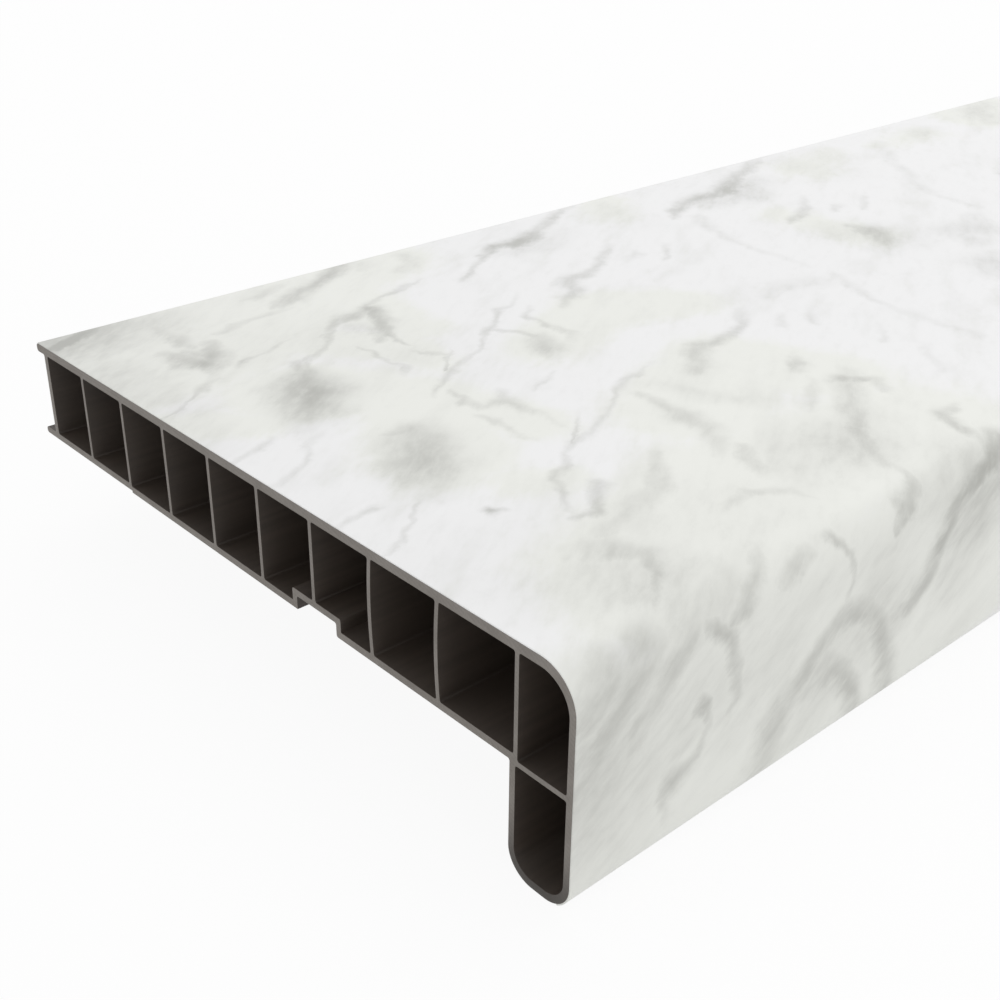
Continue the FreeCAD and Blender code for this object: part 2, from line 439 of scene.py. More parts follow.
class Nodes:
    """Adds nodes to the emptied tree of a material or world, or to a node group."""

    def __init__(self, owner):
        self.owner = owner
        self.tree = owner
        if not isinstance(owner, bpy.types.NodeTree):
            owner.use_nodes = True
            self.tree = owner.node_tree
            self.tree.nodes.clear()

    def add(self, kind, settings=None, values=None):
        """Adds a node: its settings first, then the values or links of its sockets."""
        node = self.tree.nodes.new(kind)
        for name, value in (settings or {}).items():
            setattr(node, name, value)
        for key, value in (values or {}).items():
            if isinstance(value, Signal):
                value = value.socket
            if isinstance(value, bpy.types.NodeSocket):
                self.tree.links.new(value, node.inputs[key])
            else:
                node.inputs[key].default_value = value
        return node

    def signal(self, kind, settings=None, values=None, output=0):
        """A new node's output."""
        return Signal(self, self.add(kind, settings, values).outputs[output])

    def math(self, operation, *operands):
        """A Math node."""
        return self.signal("ShaderNodeMath", {"operation": operation}, dict(enumerate(operands)))

    def vector(self, operation, *operands):
        """A Vector Math node."""
        return self.signal("ShaderNodeVectorMath", {"operation": operation}, dict(enumerate(operands)))

    def scaled(self, vector, factor):
        """A vector times a number."""
        return self.signal("ShaderNodeVectorMath", {"operation": "SCALE"}, {0: vector, "Scale": factor})

    def parts(self, vector):
        """The three numbers of a vector."""
        node = self.add("ShaderNodeSeparateXYZ", {}, {0: vector})
        return [Signal(self, socket) for socket in node.outputs]

    def thrice(self, number):
        """A vector with the same number three times."""
        return self.signal("ShaderNodeCombineXYZ", {}, {0: number, 1: number, 2: number})

    def mix(self, factor, first, second, blend="MIX"):
        """A colour mix; colours are triples or signals."""
        values = {0: factor}
        for key, colour in ((6, first), (7, second)):
            values[key] = colour if isinstance(colour, Signal) else (*colour, 1.0)
        return self.signal("ShaderNodeMix", {"data_type": "RGBA", "blend_type": blend}, values, 2)

    def noise(self, place, scale=1.0, detail=2.0, roughness=0.5, output="Fac"):
        """Fractal noise at a place."""
        return self.signal("ShaderNodeTexNoise", {}, {
            "Vector": place, "Scale": scale, "Detail": detail, "Roughness": roughness}, output)

    def mapped(self, place, scale, turn=0.0, kind="POINT"):
        """A place that is stretched, and turned in radians about the third axis."""
        return self.signal("ShaderNodeMapping", {"vector_type": kind}, {
            "Vector": place, "Rotation": (0, 0, turn), "Scale": scale})

    def bump(self, height, strength, distance):
        """Normal of a surface with fine relief; the distance is in millimetres."""
        return self.signal("ShaderNodeBump", {}, {
            "Strength": strength, "Distance": distance * MILLIMETRE, "Height": height})

    def plastic(self, colour, roughness, normal, ior):
        """Surface of a plastic."""
        return self.signal("ShaderNodeBsdfPrincipled", {}, {
            "Base Color": colour, "Roughness": roughness, "Normal": normal, "IOR": ior})

    def either(self, factor, first, second):
        """The first surface at 0 and the second at 1."""
        return self.signal("ShaderNodeMixShader", {}, {0: factor, 1: first, 2: second})

    def rays_to_eye(self):
        """1 for what the camera, gloss and glass see, and 0 for the light that falls on the board."""
        path = self.add("ShaderNodeLightPath").outputs
        camera, glossy, through = [
            Signal(self, path["Is " + kind + " Ray"]) for kind in ("Camera", "Glossy", "Transmission")]
        return camera.most(glossy).most(through)

    def finish(self, surface, kind="ShaderNodeOutputMaterial"):
        """Links the surface to the output and returns the material or world."""
        self.add(kind, {}, {"Surface": surface})
        return self.owner


def new_group(name, kind, inputs, outputs):
    """Nodes of a new group whose inputs and outputs are named and have a kind of socket."""
    tree = bpy.data.node_groups.new(name, kind)
    for way, sockets in (("INPUT", inputs), ("OUTPUT", outputs)):
        for label, socket in sockets.items():
            tree.interface.new_socket(label, in_out=way, socket_type="NodeSocket" + socket)
    return Nodes(tree)


# Meshes

def extrusion_tree():
    """Fills the section's outlines, holes left open, and extrudes them into a closed bar along X."""
    inputs = {"Geometry": "Geometry", "Length": "Float", "Start": "Vector",
              "Skin": "Material", "Sawn end": "Material"}
    nodes = new_group("section_extrusion", "GeometryNodeTree", inputs, {"Geometry": "Geometry"})
    given = nodes.add("NodeGroupInput").outputs
    curve = nodes.signal("GeometryNodeMeshToCurve", {}, {"Mesh": given["Geometry"]})
    face = nodes.signal("GeometryNodeFillCurve", {"mode": "TRIANGLES"}, {"Curve": curve})
    bar = nodes.signal("GeometryNodeExtrudeMesh", {"mode": "FACES"}, {
        "Mesh": face, "Offset": (0.0, 0.0, 1.0), "Offset Scale": given["Length"], "Individual": False})
    base = nodes.signal("GeometryNodeFlipFaces", {}, {"Mesh": face})
    both = nodes.add("GeometryNodeJoinGeometry")
    for part in (bar, base):
        nodes.tree.links.new(part.socket, both.inputs[0])
    closed = nodes.signal("GeometryNodeMergeByDistance", {}, {
        "Geometry": both.outputs[0], "Distance": WELD_DISTANCE})
    upright = Euler((math.pi / 2, 0.0, math.pi / 2))
    laid = nodes.signal("GeometryNodeTransform", {}, {
        "Geometry": closed, "Translation": given["Start"], "Rotation": upright})
    real = nodes.signal("GeometryNodeRealizeInstances", {}, {"Geometry": laid})
    skin = nodes.signal("GeometryNodeSetMaterial", {}, {"Geometry": real, "Material": given["Skin"]})
    facing = nodes.math("ABSOLUTE", nodes.parts(nodes.signal("GeometryNodeInputNormal"))[0])
    is_end = nodes.signal("FunctionNodeCompare", {"data_type": "FLOAT", "operation": "GREATER_THAN"}, {
        0: facing, 1: END_FACING})
    ends = nodes.signal("GeometryNodeSetMaterial", {}, {
        "Geometry": skin, "Selection": is_end, "Material": given["Sawn end"]})
    nodes.add("NodeGroupOutput", {}, {"Geometry": ends})
    return nodes.tree


def set_input(modifier, label, value):
    """Sets a modifier's named input by its identifier."""
    for item in modifier.node_group.interface.items_tree:
        if item.item_type == "SOCKET" and item.in_out == "INPUT" and item.name == label:
            modifier[item.identifier] = value
            return
    raise KeyError(label)


def extruded_piece(name, loops, skin, sawn_end, edge):
    """Plain mesh object: the loops extruded over the board's length, with eased edges."""
    points = []
    edges = []
    for loop in loops:
        first = len(points)
        points += [(NOSE_FACE_Y + point.x, PROFILE_LOW.z + point.y, 0.0) for point in loop]
        edges += [(first + step, first + (step + 1) % len(loop)) for step in range(len(loop))]
    wires = bpy.data.meshes.new(name + "_wires")
    wires.from_pydata(points, edges, [])
    piece = bpy.data.objects.new(name, wires)
    bpy.context.scene.collection.objects.link(piece)
    extrude = piece.modifiers.new("Extrusion", "NODES")
    extrude.node_group = extrusion_tree()
    set_input(extrude, "Length", BOARD_LENGTH)
    set_input(extrude, "Start", (NEAR_END, 0.0, 0.0))
    set_input(extrude, "Skin", skin)
    set_input(extrude, "Sawn end", sawn_end)
    bevel = piece.modifiers.new("Eased edges", "BEVEL")
    bevel.width = edge
    bevel.segments = EASING_SEGMENTS
    bevel.limit_method = "ANGLE"
    bevel.angle_limit = EASED_ANGLE
    bpy.context.view_layer.update()
    evaluated = piece.evaluated_get(bpy.context.evaluated_depsgraph_get())
    mesh = bpy.data.meshes.new_from_object(evaluated)
    if not mesh.polygons:
        raise RuntimeError("the section of " + name + " gave no faces")
    # The wires have no material of their own, so the first slot is an empty one
    mesh.materials.pop(index=0)
    piece.modifiers.clear()
    piece.data = mesh
    mesh.name = name
    mesh.shade_smooth()
    mesh.set_sharp_from_angle(angle=SHARP_ANGLE)
    return piece


def map_film(mesh, section):
    """UV map in metres: along the board from its near end, and round the section from the rear edge."""
    layer = mesh.uv_layers.new(name="film_map")
    for loop in mesh.loops:
        place = mesh.vertices[loop.vertex_index].co
        round_v = section.around(place.y - NOSE_FACE_Y, place.z - PROFILE_LOW.z)
        layer.data[loop.index].uv = (place.x - NEAR_END, round_v)


# Marble of the film

# The marble is drawn in millimetres along the board and round the section from the rear edge, and
# repeats along the board. Each stroke runs through (along, round, half width, percent) points; the
# broad band along the nose's rounding is painted shade, not marble.
FILM_REPEAT = 392.0
FILM_SEAM = -8.0
FILM_END = 190.0

STROKES = (
    ((-8, 8, 1.5, 0), (1, 5, 2.2, 92), (6, 3, 2.6, 95), (10, 1, 2.6, 81), (16, -3, 2.5, 44)),
    ((8, 6, 5, 17), (16, 9, 7, 20), (20, 16, 3, 12)),
    ((25, 22, 2, 45), (22, 28, 2.8, 60), (19, 33, 2.2, 47), (16, 38, 1.2, 18)),
    ((15, 22, 2.4, 41), (17, 27, 4, 56), (19, 30, 3.5, 66)),
    ((22, 36, 0.8, 19), (25, 34, 1.1, 42), (30, 33, 0.8, 21), (34, 32, 1.2, 33), (38, 30, 0.7, 12)),
    ((-8, 50, 0.5, 0), (0, 47.5, 0.7, 44), (8, 43, 0.6, 41), (12, 40.3, 1.9, 37), (17, 38, 1, 20)),
    ((30, 46, 1.4, 42), (34, 41.5, 1.2, 38), (40, 39, 1, 32), (45, 33, 1.1, 36), (50, 29.5, 1.6, 44)),
    ((50, 29.5, 2, 38), (54, 28.5, 2.8, 51), (59, 27, 2.4, 51), (62, 24.5, 1.3, 38), (66, 22.5, 0.9, 31)),
    ((66, 22.5, 0.9, 39), (71, 22.2, 1, 41), (76, 20.2, 0.8, 29), (81, 18.5, 0.6, 0)),
    ((60, 27, 2.4, 67), (58, 34, 2.4, 56), (53.5, 40, 2.2, 53), (53, 46, 0.9, 41), (54.5, 49, 0.6, 14)),
    ((51, 33, 3, 26), (54, 36, 3.6, 34), (51, 42.5, 1.4, 34)),
    ((52.5, 51, 0.6, 17), (53.5, 54, 1.2, 35), (56.5, 56.5, 1, 23)),
    ((46, 42, 0.7, 21), (46, 47, 1, 36), (45, 53, 0.6, 22), (46, 57, 1.2, 30), (43.5, 59, 0.7, 14)),
    ((41, 70, 0.6, 11), (45, 66.5, 0.7, 35), (50.5, 63.5, 1.1, 37),
     (57, 61, 0.8, 27), (63, 58.5, 0.7, 26)),
    ((63, 58.5, 0.7, 25), (67, 55, 0.7, 26), (71.5, 51, 1, 35), (77, 47.5, 0.8, 31), (80, 45, 1.1, 32)),
    ((80, 45, 1.1, 26), (84, 43.5, 0.7, 16), (88, 40.5, 0.6, 11), (91, 38, 0.6, 0)),
    ((19, 24, 3.2, 36), (22, 28, 3.8, 51), (21, 33, 2.6, 29)),
    ((21, -2, 2.2, 29), (21, 10, 2.4, 36), (21, 20, 2.6, 39)),
    ((51, 62, 0.6, 47), (56, 57, 0.5, 28), (61, 53, 0.5, 0)),
    ((71, 52, 0.8, 29), (75, 57.5, 1, 31), (75, 62, 2.8, 36), (73, 67, 3.6, 45), (71, 71, 2.2, 20)),
    ((87, 47, 0.6, 12), (81, 52, 1, 31), (82, 59, 1, 26), (82, 64, 1.2, 28), (79, 68, 1, 10)),
    ((32, 41.5, 1.8, 42), (29, 47, 4.2, 57), (26, 53.5, 7, 68), (22, 60, 6, 53), (16, 65.5, 3.5, 19)),
    ((-8, 71, 0.5, 0), (0, 69, 0.7, 22), (6, 67.5, 1.1, 32), (10, 65, 0.8, 16)),
    ((-8, 82, 0.6, 0), (2, 80, 0.7, 19), (10, 76.5, 0.8, 22), (12.5, 71.5, 0.7, 20), (20, 68, 0.7, 8)),
    ((25, 76.5, 1.2, 23), (29.5, 79, 3.4, 45), (27, 84, 6.4, 50), (22.5, 90, 6.6, 57), (18, 98, 4, 18)),
    ((45.5, 70.5, 0.8, 28), (44, 75, 1.1, 32), (45.5, 79.5, 1.3, 25),
     (50, 79.5, 2, 35), (52.5, 75.5, 1, 19)),
    ((50, 80, 2, 34), (50, 84.5, 1.2, 27), (51, 88, 1, 15), (50, 94, 0.8, 10)),
    ((42, 80.5, 0.7, 16), (43, 84.5, 1.1, 29), (41.8, 91, 0.8, 18), (43, 95, 0.7, 8)),
    ((57, 79.5, 0.6, 11), (61, 78, 0.8, 27), (66, 75, 0.6, 13)),
    ((83, 84, 0.5, 6), (77, 87.2, 1, 22), (74, 86.6, 1, 30), (69, 88.8, 1, 27), (64, 92.5, 0.7, 25)),
    ((64, 92.5, 0.7, 25), (60, 95.7, 0.7, 22), (53, 98, 0.8, 22),
     (47, 99.7, 1.1, 25), (42.5, 102, 0.8, 24)),
    ((42.5, 102, 0.8, 29), (40, 105.5, 1, 30), (35, 107.7, 1, 36),
     (31.5, 114, 0.8, 26), (28, 119, 1, 13)),
    ((47, 99.5, 0.5, 39), (52, 95.5, 0.5, 32), (57, 91, 0.5, 0)),
    ((1, 108.5, 0.6, 19), (6, 106, 0.7, 29), (9.5, 103.5, 0.6, 29), (13, 101, 0.7, 25), (19, 97, 0.6, 0)),
    ((-8, 99, 0.5, 0), (2, 97, 0.7, 18), (7.5, 96, 1, 36)),
    ((21, 109, 1.6, 66), (22.5, 110, 1, 32)),
    ((55, 111.5, 1.2, 17), (50.5, 116, 1.9, 29), (45, 120.5, 2.4, 29),
     (36, 122.5, 2.6, 24), (28, 125, 2.2, 27)),
    ((28, 118.5, 1.2, 36), (33, 119, 1.4, 42), (39.5, 113.5, 1.6, 42)),
    ((21, 126, 3.5, 22), (26, 129, 4.2, 45), (28.5, 133, 3.2, 40),
     (26, 138, 2.2, 56), (20, 142.5, 1.2, 33)),
    ((24, 132, 5, 27), (13, 135.5, 6, 20), (8, 140, 4, 7)),
    ((49, 131, 1.6, 24), (55, 130, 1.6, 29), (60, 134, 1.7, 24), (61, 138, 1, 11)),
    ((70, 93, 1.2, 21), (70, 98, 1.8, 30), (69, 105, 3, 36), (69, 111, 2.2, 30), (63, 117.5, 2, 21)),
    ((67, 119, 1.6, 33), (63, 126, 1.6, 33), (61, 130, 1, 9)),
    ((76, 92, 2, 11), (78, 100, 2.6, 14), (83, 108, 3, 16), (89, 104, 2.2, 5)),
    ((-8, 20, 16, 14), (20, 24, 18, 12), (44, 40, 15, 10), (60, 60, 12, 5)),
    ((-8, 2, 5, 20), (1, 2, 13, 62), (9, 0, 14, 56), (20, 5, 10, 34)),
    ((-8, 20, 6, 10), (0, 24, 12, 34), (3, 42, 8, 25), (-1, 62, 6, 12)),
    ((12, 130, 9, 18), (24, 138, 10, 36), (30, 147, 8, 24)),
    ((70, 129, 8, 18), (81, 130, 9, 38), (92, 126, 6, 14)),
    ((-8, 164, 8, 20), (1, 164, 15, 44), (10, 158, 12, 28), (24, 160, 10, 22), (44, 162, 8, 20)),
    ((82, 148, 7, 22), (94, 153, 10, 52), (90, 164, 7, 26)),
    ((50, 172, 8, 16), (70, 164, 9, 30)),
    ((4, 118, 14, 6), (22, 128, 16, 12), (50, 136, 14, 10)),
    # Painted shade: a broad faint grey band along the rounding of the nose, where the light falls off
    # round the edge
    ((-8, 153, 8, 16), (50, 155, 8, 12), (120, 153, 8, 14)),
    ((83, 126.5, 1.8, 22), (89, 126.5, 2.6, 40), (95, 121.5, 2.6, 34),
     (103, 115.5, 2.6, 34), (108, 112, 2, 20)),
    ((104, 114, 2.5, 55), (108, 117, 1.8, 36), (105.5, 121, 1.4, 26)),
    ((79, 138.5, 1.8, 30), (83, 133, 2.6, 47), (87, 127, 2.2, 50)),
    ((87, 118, 1.4, 15), (95, 113, 1.6, 24), (99, 110, 1.2, 10)),
    ((101, 105.5, 1.4, 29), (103.5, 103.5, 1.8, 45), (105.5, 101.5, 1.2, 18)),
    ((86, 26, 1.2, 23), (88.5, 24.5, 1.2, 43), (93, 21, 0.8, 28),
     (101, 16, 1.4, 46), (107.5, 12.7, 1.8, 59)),
    ((107.5, 12.7, 2.2, 47), (112, 14.5, 3.2, 71), (119, 13, 3.2, 69),
     (124, 10, 1.9, 45), (133, 4.8, 1.5, 34)),
    ((133, 4.8, 1.5, 49), (141, 1.5, 1.4, 27), (150, -2, 1.4, 0)),
    ((109, 18, 5, 20), (118, 18, 5, 22), (128, 15, 4, 10)),
    ((91, 52, 1.2, 22), (96, 49, 2, 42), (100.5, 46.5, 2, 40),
     (102.5, 42, 2.6, 36), (105, 40.3, 2.2, 40)),
    ((105, 40.3, 2.2, 38), (110, 40.3, 1.7, 38), (117, 37, 1.3, 35),
     (123, 33, 1.2, 32), (129, 28.5, 1, 13)),
    ((86, 92.5, 2.2, 30), (90.5, 89, 2.2, 36), (96, 84.5, 2.2, 45),
     (101.5, 85.7, 1.8, 43), (107, 85, 1.4, 40)),
    ((107, 85, 1.4, 34), (111.5, 83, 1.2, 32), (115, 80, 1.6, 27), (118.5, 77, 1.5, 13)),
    ((117, 88, 1.2, 19), (121, 85.5, 1, 14), (124, 84, 1, 0)),
    ((45, 6.5, 1.4, 23), (49, 5, 1.6, 29), (54, 2.5, 1.4, 16)),
    ((47, 12.8, 2, 39), (52, 11, 2.8, 53), (59, 7.8, 2, 46), (65, 4.8, 2.2, 59), (73, -0.5, 2.8, 46)),
    ((29, 18.5, 1.4, 22), (34, 17, 1.3, 32), (41, 16.5, 1, 27), (48, 15.5, 0.9, 10)),
    ((73, 5.5, 1.5, 10), (76.5, 3.5, 2, 14), (79, 1, 1.5, 6)),
    ((80, 12.5, 2, 20), (85, 9, 1.8, 17), (87, 3.5, 2.2, 24)),
    ((-8, 171, 2, 0), (0, 164, 2.6, 49), (4.5, 159, 3.4, 56), (8.5, 153, 5, 53), (14, 147, 4.4, 45)),
    ((14, 147, 4.4, 40), (19, 142.5, 3, 15)),
    ((29, 143, 2.4, 18), (22.5, 148.5, 2.8, 37), (18.5, 152, 3, 47), (13, 158, 3.2, 44), (8, 166, 3, 34)),
    ((2, 153, 4.5, 47), (8, 149, 4.5, 47), (15, 151, 3, 33)),
    ((12, 157, 1.8, 27), (17, 153.5, 1.4, 32), (20.5, 150.5, 1.4, 37), (25, 149, 1.2, 19)),
    ((30.5, 151, 1.2, 44), (33.5, 149, 1.8, 51), (38, 146.5, 1.6, 41), (43, 141, 1, 15)),
    ((43, 149, 1.8, 30), (46, 147.5, 2, 45), (50, 146.5, 1.6, 25)),
    ((55.5, 146.5, 1.4, 48), (58.5, 149.5, 1, 41), (59, 155, 0.9, 30), (58.7, 161, 0.8, 24)),
    ((70.5, 150.5, 1.2, 44), (74, 148, 2, 57), (78.5, 144.5, 1.7, 40), (81, 138, 1.2, 15)),
    ((72, 151, 1, 22), (67, 156, 1, 15), (63, 161, 1, 9)),
    ((104, 144.5, 2.6, 54), (99, 148.3, 2.8, 81), (91.5, 149.8, 2.8, 68),
     (87, 153.5, 2.8, 65), (84.5, 159, 3, 68)),
    ((84.5, 159, 3, 57), (82, 163.5, 2.6, 57), (77, 167, 2.2, 52), (72, 167.5, 1.6, 34)),
    ((96, 152, 5, 32), (90, 157, 5, 29), (80, 164, 4, 22)),
    ((110, 133, 1, 18), (104, 134, 1.6, 46), (101.5, 138.5, 1.5, 46), (100.5, 144, 1.6, 33)),
    ((40, 186, 3.8, 21), (42.5, 176, 3.8, 46), (45, 171.5, 4, 47),
     (49.5, 168, 3.2, 53), (54.5, 163.8, 2.8, 53)),
    ((54.5, 163.8, 2.8, 50), (60, 161.3, 2.8, 54), (65, 162.5, 3, 50),
     (69.5, 167.5, 3.2, 55), (72.5, 175, 2.8, 54)),
    ((72.5, 175, 2.8, 47), (75, 183, 2.5, 38)),
    ((48, 170, 4, 34), (55, 169.5, 4, 43), (60.5, 172, 2.8, 55),
     (63.5, 178, 2.5, 55), (66, 184, 2.2, 35)),
    ((56, 166, 5, 20), (65, 168, 5, 23)),
    ((24.5, 161.3, 1.8, 55), (26, 162.5, 1.4, 55), (27.5, 166, 1.2, 33),
     (25, 170, 1.6, 38), (20, 172, 2.6, 58)),
    ((20, 172, 2.6, 58), (17.5, 174.5, 1.6, 41), (19, 178.5, 1.2, 17)),
    ((26, 149.5, 1.6, 45), (29.5, 152.5, 1.8, 58), (32, 158, 1.7, 48),
     (32.5, 164, 1.6, 42), (32, 170, 1.2, 0)),
    ((82, 173.5, 1.4, 10), (85, 172, 1.4, 12)),
    ((157, 24.5, 1.4, 26), (162, 20.5, 2, 48), (168, 18, 2.6, 46),
     (174.5, 16.8, 3.2, 50), (181, 18, 3.6, 60)),
    ((181, 18, 3.6, 55), (187, 17, 4.2, 72), (193, 12.5, 3, 59), (200, 9, 2.6, 46), (207, 7, 2.2, 42)),
    ((207, 7, 2.2, 42), (213, 3.5, 2, 34), (221, 0, 1.8, 20), (230, -4, 1.6, 0)),
    ((174, 21, 5, 22), (186, 22, 6, 32), (200, 14, 6, 20)),
    ((151, 8, 4, 15), (147, 14, 8, 12), (148, 22, 6, 6)),
    ((124, 40, 1.1, 8), (129, 38.3, 1.3, 20), (131, 36, 1, 7)),
    ((131.5, 44.5, 1, 26), (136, 40.8, 1, 29), (140, 37, 0.8, 10)),
    ((129, 75.5, 1.8, 12), (137, 74, 3, 19), (146, 77.5, 3, 13)),
    ((152, 77, 1.4, 15), (148.5, 83.5, 1.6, 17), (145.5, 88, 1.3, 20),
     (143, 99, 1.2, 11), (143, 118, 1.3, 11)),
    ((163, 27, 1.6, 17), (158, 34, 2, 19), (154.5, 43, 1.5, 14), (152.5, 55, 1.3, 13), (152, 69, 1.2, 7)),
    ((123.5, 91.5, 1, 23), (127.5, 88, 1.1, 18), (131, 86, 1, 4)),
    ((125.5, 107.5, 1, 14), (132, 102, 1, 13), (135, 99, 0.7, 0)),
    ((122, 123, 1.4, 11), (125.5, 117.5, 1.3, 16), (131, 113, 1.1, 6)),
    ((176, 45.5, 1.2, 22), (179, 44.8, 1.8, 39), (186, 42, 1.6, 34),
     (192, 38.5, 1.3, 29), (198, 33, 1, 10)),
    ((193, 46.5, 1.2, 15), (197.5, 44.3, 1.6, 22), (199.5, 43.5, 1, 9)),
    ((200, 50.5, 1.1, 22), (204, 47.5, 1, 22), (210, 43.5, 1.1, 12)),
    ((185, 57, 2.4, 37), (186, 63, 5, 57), (182.5, 69, 4.6, 45), (176, 73, 4.5, 16)),
    ((181, 60, 8, 20), (186, 68, 9, 22)),
    ((198, 84, 4, 18), (201, 76, 6, 24), (208, 78, 6, 28), (216, 73, 3.5, 17)),
    ((180, 99, 4, 20), (186, 95, 6, 29), (193, 93, 4, 17)),
    ((222, 8, 8, 13), (224, 20, 10, 13), (240, 7, 6, 9)),
    ((263, 12, 2.4, 16), (257, 18, 2.4, 13), (247, 27, 1.8, 12),
     (241, 36, 1.9, 17), (231, 46.5, 1.8, 17)),
    ((231, 46.5, 1.8, 19), (226, 55, 1.6, 13), (224.5, 69, 1.6, 10)),
    ((276, 18, 4, 11), (284, 13.5, 5, 22), (293, 11, 3, 9)),
    ((314, 20, 4, 17), (320, 12, 6, 29), (326, 6.5, 5, 31), (337, 3, 4, 18)),
)

# Cream clouds of the marble, in the same form
CLOUDS = (
    ((-8, 20, 34, 100), (22, 20, 36, 100), (52, 8, 30, 90), (80, 2, 20, 90)),
    ((60, 18, 18, 80), (60, 40, 14, 60)),
    ((24, 52, 20, 100), (38, 66, 16, 80), (28, 88, 20, 100)),
    ((40, 70, 14, 70), (47, 90, 12, 80)),
    ((72, 66, 14, 60), (96, 58, 16, 90), (112, 66, 14, 70)),
    ((72, 104, 22, 90), (96, 92, 18, 90), (104, 112, 18, 90)),
    ((24, 138, 26, 100), (60, 130, 30, 100), (98, 134, 26, 100)),
    ((-8, 168, 36, 100), (50, 168, 38, 100), (110, 160, 34, 100)),
    ((147, 12, 14, 40), (154, 2, 12, 60)),
    ((222, 16, 20, 50), (242, 8, 12, 30)),
    ((180, 40, 12, 40), (182, 64, 16, 50)),
    ((262, 14, 12, 30), (284, 14, 16, 40)),
    ((318, 12, 22, 80), (340, 6, 16, 60)),
    ((36, 32, 11, 60), (52, 46, 12, 80), (52, 58, 9, 50)),
    ((-8, 44, 12, 50), (12, 60, 9, 60)),
    ((30, 104, 9, 50), (38, 110, 8, 40)),
)

# The part that the photograph hides, past a slanting line, has copies of near and strong strokes.
# They are turned half round, or moved along: each kind of copy has its direction and its shift
# along the board and round the section.
HIDDEN_SLOPE = 0.571
HIDDEN_START = 205.0
HIDDEN_MARGIN = 10.0
HIDDEN_SOURCE_END = 130.0
HIDDEN_LEAST_PERCENT = 30.0
HIDDEN_WIDEST_STROKE = 4.5
HIDDEN_WIDEST_CLOUD = 40.0
HIDDEN_COPIES = ((-1.0, 245.0, 195.0), (1.0, 245.0, 35.0))

# Zones of the film: bands round the section and their upper limits along the board. Each zone
# evaluates only the strokes that reach it. A mark fades out at so many half widths from its middle,
# and past REACH_SPREAD of them it is too faint to count.
ZONE_BANDS = (
    (-20.0, 70.0, (30.0, 62.0, 102.0, 160.0, 240.0, 310.0, 384.0)),
    (70.0, 141.0, (40.0, 80.0, 130.0, 200.0, 260.0, 320.0, 384.0)),
    (141.0, FILM_END, (48.0, 120.0, 190.0, 250.0, 320.0, 384.0)),
)
STROKE_SPREAD = 2.3
CLOUD_SPREAD = 1.25
REACH_SPREAD = 1.75
WARP_REACH = 3.2

# Fine marble from noise, in millimetres: fibres and drifts stretched along one direction, the shift
# of the strokes' places, the shares of noise in a mark's edge, and the levels at which noise starts
# and ends to count
STRAND_TURN = math.radians(-34.0)
FIBRE_STRETCH = (6.0, 2.3, 1.0)
DRIFT_STRETCH = (26.0, 9.0, 1.0)
RIPPLE_SCALE = 0.16
RIPPLE_SHIFT = 4.4
STRAND_SHIFT = 2.4
GRAIN_SCALE = 2.4
GRAIN_ROUGHNESS_SPREAD = 0.08
DRIFT_IN_CREAM = 0.7
FIBRES_IN_CREAM = 0.3
SMOKE_IN_FEATHER = 0.30
DRIFT_HAZE = {"low": 0.46, "high": 0.74, "end": 0.13}
FIBRE_HAZE = {"low": 0.48, "high": 0.80, "end": 0.07}
CREAM_LEVELS = {"low": 0.02, "high": 0.46}
FEATHER_LEVELS = {"low": 0.32, "high": 0.78, "start": 0.66, "end": 1.20}

NONE = (0.0, 0.0, 0.0)
WHOLE = (1.0, 1.0, 1.0)
MIDDLE = (0.5, 0.5, 0.5)
NO_SEGMENT = (0.0,) * 10


def with_hidden_copies(strokes, widest):
    """The strokes, and copies of those up to the widest on the part that the photograph hides."""
    found = list(strokes)
    for way, from_along, from_round in HIDDEN_COPIES:
        for stroke in strokes:
            copy = [(from_along + way * along, from_round + way * across, width, percent)
                    for along, across, width, percent in stroke]
            near = max(point[0] for point in stroke) < HIDDEN_SOURCE_END
            strong = max(point[3] for point in stroke) > HIDDEN_LEAST_PERCENT
            narrow = max(point[2] for point in stroke) < widest
            hidden = all(HIDDEN_SLOPE * point[0] + point[1] > HIDDEN_START for point in copy)
            on_film = all(-HIDDEN_MARGIN < point[1] < FILM_END + HIDDEN_MARGIN for point in copy)
            if near and strong and narrow and hidden and on_film:
                found.append(tuple(copy))
    return found


def three_segments_group():
    """Node group that lays three stroke segments over earlier ones, one in each part of its vectors."""
    labels = ("Along", "Round", "Earlier", "Start along", "Start round", "Share along", "Share round",
              "Back along", "Back round", "Tightness step", "Tightness", "Strength step", "Strength")
    inputs = {label: "Vector" for label in labels}
    nodes = new_group("three_segments", "ShaderNodeTree", inputs, {"Marks": "Vector"})
    given = nodes.add("NodeGroupInput").outputs
    along = nodes.vector("SUBTRACT", given["Along"], given["Start along"])
    across = nodes.vector("SUBTRACT", given["Round"], given["Start round"])
    share = nodes.vector("MULTIPLY", along, given["Share along"])
    share = nodes.vector("MULTIPLY_ADD", across, given["Share round"], share)
    share = nodes.vector("MINIMUM", nodes.vector("MAXIMUM", share, NONE), WHOLE)
    off_along = nodes.vector("MULTIPLY_ADD", share, given["Back along"], along)
    off_across = nodes.vector("MULTIPLY_ADD", share, given["Back round"], across)
    squared = nodes.vector("MULTIPLY", off_along, off_along)
    squared = nodes.vector("MULTIPLY_ADD", off_across, off_across, squared)
    tightness = nodes.vector("MULTIPLY_ADD", share, given["Tightness step"], given["Tightness"])
    inside = nodes.vector("MAXIMUM", nodes.vector("MULTIPLY_ADD", squared, tightness, WHOLE), NONE)
    inside = nodes.vector("MULTIPLY", inside, inside)
    inside = nodes.vector("MULTIPLY", inside, inside)
    strength = nodes.vector("MULTIPLY_ADD", share, given["Strength step"], given["Strength"])
    marks = nodes.vector("MAXIMUM", nodes.vector("MULTIPLY", inside, strength), given["Earlier"])
    nodes.add("NodeGroupOutput", {}, {"Marks": marks})
    return nodes.tree


